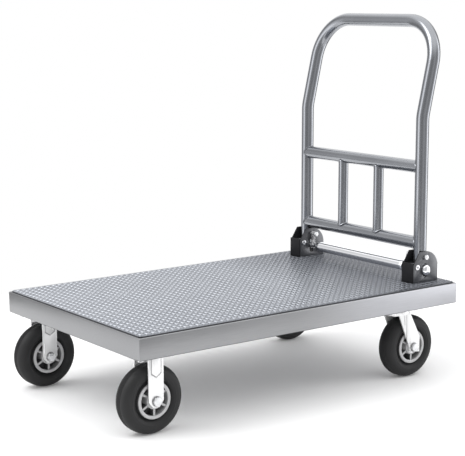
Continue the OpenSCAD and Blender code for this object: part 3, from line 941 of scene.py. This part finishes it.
@dataclass
class Handle:
    """The bent handle tube, its rails and uprights, and their welds."""

    radius: float = 16.85 * MM
    rail_radius: float = 16.5 * MM
    upright_radius: float = 13.45 * MM
    corner: float = 108.0 * MM
    bend: float = 90.0 * MM
    bend_rise: float = 425.0 * MM
    weld: float = 1.9 * MM
    weld_wave: float = 0.25 * MM
    notch_half: float = 6.3 * MM

    def build(self) -> None:
        """Builds every handle piece."""
        self.loop()
        self.rails()
        self.uprights()
        for side in SIDES:
            piece = softened(f"hinge_lug_{side}", f"lug_{side}", 0.8 * MM)
            dress(piece, HANDLE_PAINT, "handle_frame")

    def path(self) -> list[Vector]:
        """Returns the tube's middle line, from the right foot over to the left one."""
        leg = NodeBox.of("handle_leg_right")
        bow = NodeBox.of("handle_bow")
        top_of_deck = NodeBox.of("deck_pan").high.z
        x, y, z = leg.low.x + self.radius, leg.high.y - self.radius, leg.low.z
        kink = Vector((x, 0, top_of_deck + self.bend_rise))
        grip = Vector((bow.high.x - self.radius, 0, bow.high.z - self.radius))
        along = (grip - kink).normalized()
        lean = math.atan2(along.x, along.z)
        back = self.bend * math.tan(lean / 2)
        half = [Vector((x, y, z)), Vector((x, y, z + 12 * MM)), Vector((x, y, (z + kink.z) / 2))]
        steps = 8
        for i in range(steps + 1):
            turn = lean * i / steps
            half.append(Vector((x + self.bend * (1 - math.cos(turn)), y,
                                kink.z - back + self.bend * math.sin(turn))))
        corner = grip - along * self.corner
        steps = 18
        for i in range(steps + 1):
            turn = math.radians(90 * i / steps)
            place = corner + along * (self.corner * math.sin(turn))
            half.append(Vector((place.x, y - self.corner * (1 - math.cos(turn)), place.z)))
        return half + [Vector((p.x, -p.y, p.z)) for p in reversed(half)]

    def loop(self) -> None:
        """Builds the bent tube and cuts the notches in its feet."""
        route = self.path()
        piece = tube("handle_tube", route, self.radius, 48)
        rod = NodeBox.of("release_rod").middle
        for side in SIDES.values():
            foot = Vector((route[0].x, side * route[0].y, rod.z))
            outline = arc((0, 0), self.notch_half, 180, 0, 12)
            outline += [(self.notch_half, -0.02), (-self.notch_half, -0.02)]
            cutter = slab("notch_cutter", outline, foot, -0.02, 0.02)
            mod = piece.modifiers.new("notch", "BOOLEAN")
            mod.operation = "DIFFERENCE"
            mod.object = cutter
            mod.solver = "EXACT"
            settle(piece)
            bpy.data.objects.remove(cutter)
        clean(piece.data)
        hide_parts("handle_leg_left", "handle_leg_right", "handle_bow")
        dress(piece, HANDLE_PAINT, "handle_frame")

    def _bead(
        self, centre: Vector, along: Vector, radius: float, other: float, other_axis: Vector
    ) -> bpy.types.Object:
        """Lays a weld bead where a round tube meets a thicker one at a right angle.

        Args:
            centre: Where the two middle lines meet.
            along: The direction of the tube that ends there, away from the centre.
            radius: That tube's radius.
            other: The radius of the tube it ends on.
            other_axis: The direction of the tube it ends on.

        Returns:
            The bead.
        """
        aside = along.cross(other_axis)
        route = []
        for i in range(40):
            turn = 2 * math.pi * i / 40
            u, w = radius * math.cos(turn), radius * math.sin(turn)
            reach = math.sqrt(max(other * other - u * u, (0.3 * other) ** 2))
            wave = self.weld_wave * math.sin(turn * 13)
            route.append(centre + along * (reach + wave) + aside * u + other_axis * w)
        return tube("bead", route, self.weld, 8, closed=True)

    def rails(self) -> None:
        """Builds the two cross rails with a weld bead at each end."""
        leg = NodeBox.of("handle_leg_right")
        x, y = leg.low.x + self.radius, leg.high.y - self.radius
        for label in ("upper", "lower"):
            z = NodeBox.of(f"rail_{label}").middle.z
            reach = y - self.radius * 0.45
            route = [Vector((x, reach * t, z)) for t in (-1, -0.5, 0.5, 1)]
            piece = tube(f"cross_rail_{label}", route, self.rail_radius, 48)
            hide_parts(f"rail_{label}")
            dress(piece, HANDLE_PAINT, "handle_frame")
            beads = [
                self._bead(Vector((x, side * y, z)), Vector((0, -side, 0)),
                           self.rail_radius, self.radius, Vector((0, 0, 1)))
                for side in (-1, 1)
            ]
            welds = join(f"rail_welds_{label}", beads)
            dress(welds, HANDLE_PAINT, "handle_frame")

    def uprights(self) -> None:
        """Builds the two uprights between the rails with their weld beads."""
        low, high = (NodeBox.of(f"rail_{label}").middle for label in ("lower", "upper"))
        for side in SIDES:
            place = NodeBox.of(f"upright_{side}").middle
            reach = self.rail_radius * 0.6
            route = [Vector((place.x, place.y, z)) for z in (low.z + reach, place.z, high.z - reach)]
            piece = tube(f"upright_tube_{side}", route, self.upright_radius, 40)
            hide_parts(f"upright_{side}")
            dress(piece, HANDLE_PAINT, "handle_frame")
            beads = [
                self._bead(Vector((place.x, place.y, rail.z)), Vector((0, 0, way)),
                           self.upright_radius, self.rail_radius, Vector((0, 1, 0)))
                for rail, way in ((low, 1), (high, -1))
            ]
            welds = join(f"upright_welds_{side}", beads)
            dress(welds, HANDLE_PAINT, "handle_frame")


# ---- hinge and lock ------------------------------------------------------------------


@dataclass
class Hinge:
    """The brackets with their rivets, bolts, buffers, studs and return springs."""

    edge: float = 0.9 * MM
    wire: float = 0.9 * MM
    coil_radius: float = 2.7 * MM
    coil_step: float = 7.7 * MM
    stud_ring: float = 5.2 * MM
    inside: float = 18.2 * MM
    rod_ring: float = 7.2 * MM

    def build(self) -> None:
        """Builds every piece of the hinge."""
        for side in SIDES:
            piece = softened(f"hinge_bracket_{side}", f"bracket_{side}", self.edge)
            dress(piece, BRACKET_PAINT, "deck")
            leg = NodeBox.of(f"handle_leg_{side}").middle.y
            # Painted shade: the cheeks' faces inside the channel turn dark; the front and upward
            # faces take the same dark finish.
            touch_up(piece, RUBBER_AND_BRACKET_SHADE, lambda c, n: (
                abs(c.y - leg) < self.inside and n.y * (leg - c.y) > 0.5 * abs(leg - c.y)
                or n.x < -0.6 or n.z > 0.9
            ))
        for name, node, finish, slot, width in (
            ("buffer_pads", "leg_buffers", RUBBER_AND_BRACKET_SHADE, "rubber", 1.6 * MM),
            ("hinge_rivets", "pivot_rivets", CHROME, "chrome", 0.7 * MM),
            ("bracket_hex_bolts", "bracket_bolts", BOLT_ZINC, "zinc", 0.5 * MM),
            ("hex_spring_studs", "spring_studs", BOLT_ZINC, "zinc", 0.5 * MM),
        ):
            dress(softened(name, node, width), finish, "deck")
        self.springs()

    def springs(self) -> None:
        """Winds the four return springs, which stretch between stud and rod."""
        stud_z = NodeBox.of("spring_studs").middle.z
        rod = NodeBox.of("release_rod").middle
        box = NodeBox.of("return_springs")
        outer_y = box.high.y - self.coil_radius - self.wire
        coil = Coil(SPRING_WIRE)
        parts = []
        for side in SIDES.values():
            for back in (0.0, self.coil_step):
                place = Vector((rod.x, side * (outer_y - back), 0))
                foot = place + Vector((0, 0, rod.z + self.rod_ring + self.wire))
                height = stud_z - self.stud_ring - self.wire - foot.z
                turns = height / (2.1 * self.wire)
                parts.append(coil.wind("coil", foot, turns, self.coil_radius, self.wire, height))
                for z, ring in ((rod.z, self.rod_ring), (stud_z, self.stud_ring)):
                    route = [
                        Vector((place.x + ring * math.cos(t), place.y, z + ring * math.sin(t)))
                        for t in (2 * math.pi * i / 28 for i in range(28))
                    ]
                    parts.append(tube("hook", route, self.wire, 8, closed=True))
        piece = join("return_spring_coils", parts)
        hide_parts("return_springs")
        piece.data.materials.clear()
        piece.data.materials.append(SPRING_WIRE.material())
        foot = (rod.x, 0.0, rod.z + self.rod_ring + self.wire)
        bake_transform(piece)
        log.info("%s: %d faces", piece.name, len(piece.data.polygons))


@dataclass
class ReleaseBar:
    """The foot-pressed bar, its rod and its end caps."""

    wall: float = 2.0 * MM

    def build(self) -> None:
        """Builds the bar, the rod and the caps."""
        box = NodeBox.of("release_bar")
        radius, half, edge = box.size.z / 2, box.size.y / 2, 0.8 * MM
        profile = [
            (radius - edge, half), (radius - 0.3 * edge, half - 0.3 * edge),
            (radius, half - edge), (radius, half - 12 * MM), (radius, 0.0),
            (radius, -half + 12 * MM), (radius, -half + edge),
            (radius - 0.3 * edge, -half + 0.3 * edge), (radius - edge, -half),
            (radius - self.wall, -half), (radius - self.wall, half),
        ]
        bar = lathe("press_bar", profile, box.middle, 48)
        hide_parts("release_bar")
        dress(bar, CHROME, "release")
        rod = softened("press_rod", "release_rod", 0.8 * MM)
        dress(rod, CHROME, "release")
        caps = softened("bar_caps", "release_bar_ends", 0.8 * MM)
        dress(caps, CHROME, "release")


# ---- castors -------------------------------------------------------------------------


@dataclass
class Wheel:
    """A balloon tyre on a ribbed cast rim."""

    radius: float = 80.0 * MM
    rim_radius: float = 43.05 * MM
    width: float = 49.0 * MM
    groove: float = 0.9 * MM
    ridge: float = 0.5 * MM
    ridges_at: tuple[int, ...] = (120, 114, 102, 60)
    ring_half: float = 24.0 * MM
    ring_inner: float = 35.2 * MM
    hub_radius: float = 19.9 * MM
    hub_half: float = 25.0 * MM
    bore_radius: float = 16.0 * MM
    web: float = 3.0 * MM
    spoke_thick: float = 5.6 * MM

    def build(self, where: str) -> None:
        """Builds one wheel.

        Args:
            where: The wheel's place, such as "front_left".
        """
        middle = NodeBox.of(f"tyre_{where}").middle
        tyre = self.tyre(f"balloon_tyre_{where}", middle)
        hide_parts(f"tyre_{where}")
        dress(tyre, TYRE_RUBBER, f"wheel_{where}")
        rim = self.rim(f"cast_rim_{where}", middle)
        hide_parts(f"rim_{where}")
        dress(rim, CAST_RIM, f"wheel_{where}")
        # Painted shade at the foot of the windows between the spokes.
        touch_up(rim, RIM_WINDOW_SHADE, lambda c, n: self._in_window_shade(c - middle))
        refinish(f"bearings_{where}", BOLT_ZINC)
        refinish(f"sleeve_{where}", BOLT_ZINC)

    def _in_window_shade(self, place: Vector) -> bool:
        """Says whether a place lies at the foot of the windows between the spokes, where shade is
        painted.

        Args:
            place: The place, from the wheel's middle.

        Returns:
            True at the foot of a window.
        """
        out = math.hypot(place.x, place.z)
        between = self.hub_radius < out < self.ring_inner + 1.5 * MM
        return between and abs(place.y) < self.web + 8.0 * MM

    def rim(self, name: str, middle: Vector) -> bpy.types.Object:
        """Builds the rim: ring, web, hub and six spokes on each side.

        Args:
            name: The rim's name.
            middle: The wheel's middle.

        Returns:
            The rim.
        """
        face, outer, inner = self.ring_half, self.rim_radius - 0.1 * MM, self.ring_inner
        side = [
            (outer, face - 1.5 * MM), (outer - 0.4 * MM, face - 0.4 * MM),
            (outer - 1.4 * MM, face), (inner + 1.2 * MM, face),
            (inner + 0.3 * MM, face - 0.5 * MM), (inner, face - 1.6 * MM),
            (inner + 1.2 * MM, self.web),
        ]
        ring = lathe("ring", mirrored(side), middle, 72)
        hub, bore, half = self.hub_radius, self.bore_radius, self.hub_half
        side = [(bore, half - 0.5 * MM), (bore + 0.5 * MM, half), (hub - 1 * MM, half),
                (hub, half - 1 * MM), (hub + 0.8 * MM, self.web)]
        core = lathe("hub", mirrored(side), middle, 48)
        side = [(hub - 0.5 * MM, self.web), (inner + 2 * MM, self.web)]
        disc = lathe("web", mirrored(side), middle, 72)
        foot, tip, thick = hub - 0.8 * MM, inner + 1.6 * MM, self.spoke_thick / 2
        outline = [(-thick, foot), (thick, foot), (thick * 0.9, tip), (-thick * 0.9, tip)]
        reach = self.ring_half - 2.5 * MM
        spoke = bevel(slab("spoke", outline, Vector(), -reach, reach), 0.8 * MM, 2)
        turns = [Vector((0, math.radians(180 + 60 * i), 0)) for i in range(6)]
        spokes = Scatter(CAST_RIM).spread("spokes", spoke, [middle] * 6, turns)
        return join(name, [ring, core, disc, spokes])

    def tyre(self, name: str, middle: Vector) -> bpy.types.Object:
        """Turns the tyre's section, with ridges on its walls and grooves in its crown.

        Args:
            name: The tyre's name.
            middle: The wheel's middle.

        Returns:
            The tyre.
        """
        height = self.radius - self.rim_radius
        round_r = height / 2
        flat = self.width / 2 - round_r
        mid = self.rim_radius + round_r
        half = [(self.rim_radius, 0.0), (self.rim_radius, self.width / 2 - 3.0 * MM)]
        for degrees in range(144, -1, -6):
            turn = math.radians(degrees)
            r, y = mid + round_r * math.cos(turn), flat + round_r * math.sin(turn)
            ridge = self.ridge if degrees in self.ridges_at else 0.0
            half.append((max(r, self.rim_radius + 0.6 * MM), y + ridge * math.sin(turn)))
        crown = [
            (flat - 0.5 * MM, 0.0), (flat - 0.9 * MM, self.groove),
            (flat - 2.6 * MM, self.groove), (flat - 3.0 * MM, 0.0),
            (1.3 * MM, 0.0), (0.9 * MM, self.groove),
        ]
        half += [(self.radius - dip, y) for y, dip in crown]
        section = half + [(r, -y) for r, y in reversed(half[1:])]
        return lathe(name, section, middle, 96)


@dataclass
class RigidCastor:
    """A fork whose legs come straight down from a bolted top plate."""

    leg_width: float = 40.0 * MM
    leg_thick: float = 4.0 * MM
    panel_width: float = 24.0 * MM
    panel_rise: float = 0.9 * MM
    panel_low: float = 56.0 * MM
    panel_point: float = 9.0 * MM
    groove: float = 1.7 * MM
    nose: float = 15.0 * MM
    plate_thick: float = 4.0 * MM

    def build(self, side: str) -> None:
        """Builds one rigid castor.

        Args:
            side: "left" or "right".
        """
        box = NodeBox.of(f"rigid_fork_{side}")
        axle = NodeBox.of(f"tyre_front_{side}").middle
        gap = NodeBox.of(f"sleeve_front_{side}").size.y / 2
        plate_low = box.high.z - self.plate_thick
        half, top = self.leg_width / 2, plate_low + 1 * MM - axle.z
        tip = self.nose * 0.56
        outline = [
            (-half, top), (-half, 0), (-tip, -self.nose), (tip, -self.nose), (half, 0), (half, top),
        ]
        parts, lines = [], []
        for way in (-1, 1):
            face = way * (gap + self.leg_thick)
            inner, outer = sorted((way * gap, face))
            parts.append(bevel(slab("leg", outline, axle, inner, outer), 0.9 * MM, 3))
            # The wider strip behind each panel shows as a dark line round it: painted shade in the
            # groove.
            for width, rise, kept in (
                (self.panel_width / 2 + self.groove, 0.25 * MM, lines),
                (self.panel_width / 2, self.panel_rise, parts),
            ):
                deep = sorted((face - way * 1.0 * MM, face + way * rise))
                low = self.panel_low - (width - self.panel_width / 2) * 1.4
                high = low + self.panel_point
                shape = [(-width, top), (-width, high), (0, low), (width, high), (width, top)]
                panel = slab("panel", shape, axle, *deep)
                kept.append(bevel(panel, 0.5 * MM, 3, 25.0) if kept is parts else panel)
        size = box.size
        plate = [(-size.x / 2, plate_low), (size.x / 2, plate_low),
                 (size.x / 2, box.high.z), (-size.x / 2, box.high.z)]
        base = Vector((box.middle.x, box.middle.y, 0))
        parts.append(bevel(slab("plate", plate, base, -size.y / 2, size.y / 2), 0.9 * MM))
        piece = join(f"rigid_fork_{side}_shell", parts)
        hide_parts(f"rigid_fork_{side}")
        dress(piece, FORK_ZINC, "deck")
        # The dark strips round the panels are painted shade.
        dress(join(f"rigid_fork_{side}_crease", lines), CREASE_AND_BOLT_SHADE, "deck")


@dataclass
class SwivelCastor:
    """A castor whose fork turns under a ball race."""

    crease_rise: float = 0.3 * MM
    crease_wide: float = 1.5 * MM
    crease_high: float = 87.0 * MM
    leg_thick: float = 4.0 * MM
    edge: float = 0.9 * MM

    def build(self, side: str) -> None:
        """Builds one swivel castor.

        Args:
            side: "left" or "right".
        """
        for name, node, finish, slot, body in (
            ("swivel_top", f"swivel_plate_{side}", FORK_ZINC, "fork_zinc", "deck"),
            ("swivel_fork", f"swivel_fork_{side}", FORK_ZINC, "fork_zinc", f"swivel_{side}"),
            ("swivel_pin", f"kingpin_{side}", BOLT_ZINC, "zinc", "deck"),
        ):
            dress(softened(f"{name}_{side}_shell", node, self.edge * 0.7), finish, body)
        refinish(f"swivel_balls_{side}", CHROME)
        self.creases(side)

    def creases(self, side: str) -> None:
        """Marks the pressed creases on the outside of both fork legs with dark strips of painted
        shade.

        Args:
            side: "left" or "right".
        """
        axle = NodeBox.of(f"tyre_rear_{side}").middle
        gap = NodeBox.of(f"sleeve_rear_{side}").size.y / 2
        parts = []
        for way in (-1, 1):
            face = way * (gap + self.leg_thick)
            deep = sorted((face - way * 1.0 * MM, face + way * self.crease_rise))
            for top, low, z in ((-27 * MM, -26 * MM, 19 * MM), (-35 * MM, -33 * MM, 62 * MM)):
                outline = [
                    (top, self.crease_high), (low, z),
                    (low + self.crease_wide, z), (top + self.crease_wide, self.crease_high),
                ]
                parts.append(slab("crease", outline, axle, *deep))
        piece = join(f"fork_creases_{side}", parts)
        dress(piece, CREASE_AND_BOLT_SHADE, f"swivel_{side}")


@dataclass
class Fasteners:
    """The bolts and nuts that hold the castors and wheels."""

    edge: float = 0.6 * MM
    leg_thick: float = 4.0 * MM

    def build(self) -> None:
        """Builds every fastener."""
        for node in ("castor_bolts", "castor_nuts"):
            dress(softened(node + "_shell", node, self.edge), BOLT_ZINC, "deck")
        for row in ("front", "rear"):
            for side in SIDES:
                body = "deck" if row == "front" else f"swivel_{side}"
                self.axle(f"{row}_{side}", body)

    def axle(self, where: str, body: str) -> None:
        """Builds an axle bolt with a washer at each end.

        Args:
            where: The wheel's place, such as "front_left".
            body: The body the bolt rides on.
        """
        piece = softened(f"axle_bolt_{where}", f"axle_{where}", self.edge)
        dress(piece, BOLT_ZINC, body)
        middle = NodeBox.of(f"tyre_{where}").middle
        gap = NodeBox.of(f"sleeve_{where}").size.y / 2 + self.leg_thick
        profile = [(12.0 * MM, 0.0), (12.0 * MM, 1.2 * MM), (11.4 * MM, 1.7 * MM),
                   (6.2 * MM, 1.7 * MM), (6.2 * MM, 0.0)]
        parts = [
            lathe("washer", [(r, end * (gap + y)) for r, y in profile], middle, 40)
            for end in (-1, 1)
        ]
        # The washers' dark finish is painted shade round the bolt.
        dress(join(f"axle_washers_{where}", parts), CREASE_AND_BOLT_SHADE, body)


# ---- studio --------------------------------------------------------------------------


@dataclass
class Studio:
    """The camera, the pale floor and the soft lights."""

    camera_place: Point = (-2.0337, -2.7086, 0.9639)
    camera_turn: Point = (80.38, 0.07, -36.77)
    lens: float = 105.77
    zenith: float = 1.55
    key_place: Point = (-2.4, 0.8, 3.2)
    key_power: float = 45.0
    floor_half: tuple[float, float] = (1.5, 1.25)
    floor_glow: float = 0.07
    boxes: tuple[tuple[float, float], ...] = (
        (-180, 1.1), (-165, 1.5), (-125, 0.35), (-112, 0.50), (-94, 1.0), (-77, 2.3),
        (-67, 2.3), (-58, 0.9), (-40, 0.50), (-10, 0.42), (25, 0.75), (48, 0.50),
        (66, 0.62), (84, 1.5), (97, 3.2), (105, 3.2), (112, 0.8), (130, 0.28), (180, 1.1),
    )

    def build(self) -> None:
        """Builds the studio."""
        bpy.context.scene.view_settings.view_transform = "Standard"
        self.camera()
        self.floor()
        self.surroundings()
        self.key()

    def camera(self) -> None:
        """Places the camera."""
        data = bpy.data.cameras.new("studio_camera")
        data.lens = self.lens
        data.sensor_width = 36.0
        data.clip_end = 100.0
        camera = bpy.data.objects.new("studio_camera", data)
        camera.location = self.camera_place
        camera.rotation_euler = [math.radians(a) for a in self.camera_turn]
        bpy.context.scene.collection.objects.link(camera)
        bpy.context.scene.camera = camera

    def floor(self) -> None:
        """Lays the pale floor."""
        mesh = bpy.data.meshes.new("studio_floor")
        x, y = self.floor_half
        mesh.from_pydata([(-x, -y, 0), (x, -y, 0), (x, y, 0), (-x, y, 0)], [], [(0, 1, 2, 3)])
        floor = bpy.data.objects.new("studio_floor", mesh)
        bpy.context.scene.collection.objects.link(floor)
        mat = bpy.data.materials.new("studio_floor")
        mat.use_nodes = True
        shader = mat.node_tree.nodes["Principled BSDF"]
        for label, value in (
            ("Base Color", (0.90, 0.90, 0.90, 1.0)), ("Roughness", 0.8),
            ("Specular IOR Level", 0.2), ("Emission Color", (1.0, 1.0, 1.0, 1.0)),
            ("Emission Strength", self.floor_glow),
        ):
            shader.inputs[label].default_value = value
        floor.data.materials.append(mat)

    def surroundings(self) -> None:
        """Sets the white surroundings, with tall soft boxes and dark gaps between them."""
        world = bpy.data.worlds.new("studio_world")
        world.use_nodes = True
        bpy.context.scene.world = world
        tree = world.node_tree
        link = tree.links.new
        facing = math.radians(self.camera_turn[2]) - math.pi / 2
        coords = add_node(tree, "ShaderNodeTexCoord")
        turn = add_node(tree, "ShaderNodeMapping", {"Rotation": (0, 0, -facing)})
        link(coords.outputs["Generated"], turn.inputs["Vector"])
        split = add_node(tree, "ShaderNodeSeparateXYZ")
        link(turn.outputs["Vector"], split.inputs["Vector"])
        angle = add_node(tree, "ShaderNodeMath", operation="ARCTAN2")
        link(split.outputs["Y"], angle.inputs[0])
        link(split.outputs["X"], angle.inputs[1])
        share = add_node(tree, "ShaderNodeMapRange", {"From Min": -math.pi, "From Max": math.pi})
        link(angle.outputs["Value"], share.inputs["Value"])
        ring = add_node(tree, "ShaderNodeValToRGB")
        ramp = ring.color_ramp
        ramp.elements[1].position = self._share(self.boxes[1][0])
        for i, (degrees, level) in enumerate(self.boxes):
            stop = ramp.elements[i] if i < 2 else ramp.elements.new(self._share(degrees))
            stop.color = (level, level, level * 1.01, 1.0)
        link(share.outputs["Result"], ring.inputs["Fac"])
        height = add_node(
            tree, "ShaderNodeMapRange", {"From Min": 0.35, "From Max": 0.85},
            interpolation_type="SMOOTHSTEP",
        )
        link(split.outputs["Z"], height.inputs["Value"])
        dome = add_node(
            tree, "ShaderNodeMix", {7: (self.zenith, self.zenith, self.zenith, 1.0)},
            data_type="RGBA",
        )
        link(height.outputs["Result"], dome.inputs["Factor"])
        link(ring.outputs["Color"], dome.inputs[6])
        back = tree.nodes["Background"]
        link(dome.outputs[2], back.inputs["Color"])
        white = add_node(tree, "ShaderNodeBackground", {"Color": (1.0, 1.0, 1.0, 1.0)})
        path = add_node(tree, "ShaderNodeLightPath")
        pick = add_node(tree, "ShaderNodeMixShader")
        link(path.outputs["Is Camera Ray"], pick.inputs["Fac"])
        link(back.outputs["Background"], pick.inputs[1])
        link(white.outputs["Background"], pick.inputs[2])
        link(pick.outputs["Shader"], tree.nodes["World Output"].inputs["Surface"])

    @staticmethod
    def _share(degrees: float) -> float:
        """Returns a direction's place on the ring, from 0 to 1."""
        return (degrees + 180) / 360

    def key(self) -> None:
        """Hangs the soft key light."""
        data = bpy.data.lights.new("key_light", "AREA")
        data.size = 2.2
        data.energy = self.key_power
        light = bpy.data.objects.new("key_light", data)
        light.location = self.key_place
        aim = Vector((0, 0, 0.2)) - Vector(self.key_place)
        light.rotation_euler = aim.to_track_quat("-Z", "Y").to_euler()
        bpy.context.scene.collection.objects.link(light)


def main() -> None:
    """Builds the whole model and reports each piece."""
    logging.basicConfig(level=logging.INFO, format="%(message)s")
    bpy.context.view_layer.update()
    Studio().build()
    Deck().build()
    Handle().build()
    Hinge().build()
    ReleaseBar().build()
    wheel = Wheel()
    for row in ("front", "rear"):
        for side in SIDES:
            wheel.build(f"{row}_{side}")
    for side in SIDES:
        RigidCastor().build(side)
        SwivelCastor().build(side)
    Fasteners().build()


if __name__ == "__main__":
    main()
